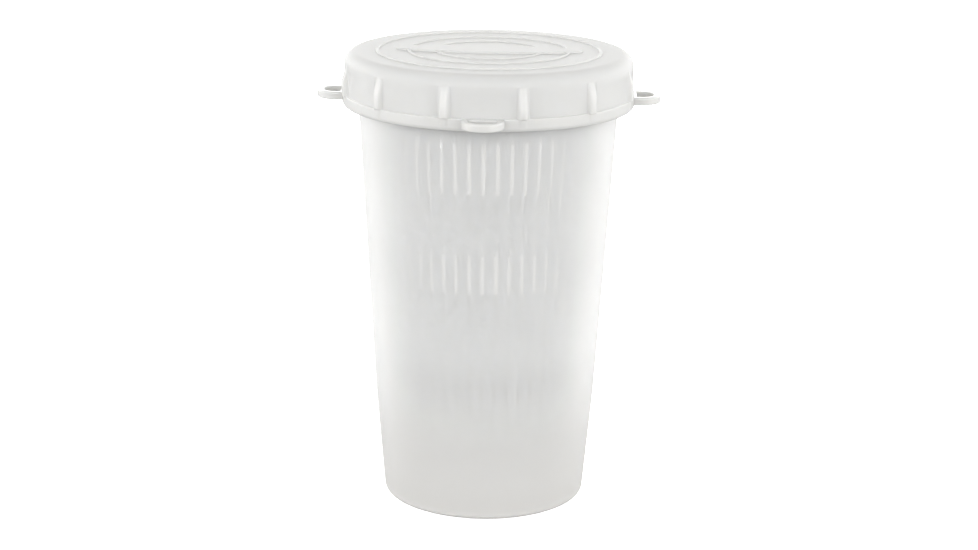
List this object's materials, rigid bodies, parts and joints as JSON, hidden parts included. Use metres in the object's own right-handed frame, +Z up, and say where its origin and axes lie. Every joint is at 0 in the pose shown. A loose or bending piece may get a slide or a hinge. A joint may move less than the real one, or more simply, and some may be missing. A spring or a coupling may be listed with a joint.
{
  "type": "cheese mold",
  "caption": "Tall tapering draining mold: a slotted basket hangs in a translucent tub under a push-on lid with grip ribs, raised rings and loop ears.",
  "frame": {"origin": "centre of the ring that the tub stands on", "axes": "+Z up, -Y towards the ear at the front, X across the blank plate on the lid"},
  "size_m": [0.155, 0.155, 0.2085],
  "materials": {
    "tub_plastic": "milky translucent polypropylene, fine satin",
    "basket_plastic": "milky white polypropylene, satin",
    "lid_plastic": "milky white polypropylene, glossy as moulded"
  },
  "bodies": {
    "tub": {"container": "tub_plastic"},
    "strainer": {"basket": "basket_plastic"},
    "cap": {"lid": "lid_plastic"}
  },
  "joints": [
    {"name": "basket_lift", "type": "slide", "parent": "tub", "child": "strainer", "axis": [0, 0, 1], "range_m": [0, 0.18]},
    {"name": "lid_lift", "type": "slide", "parent": "strainer", "child": "cap", "axis": [0, 0, 1], "range_m": [0, 0.08]}
  ]
}
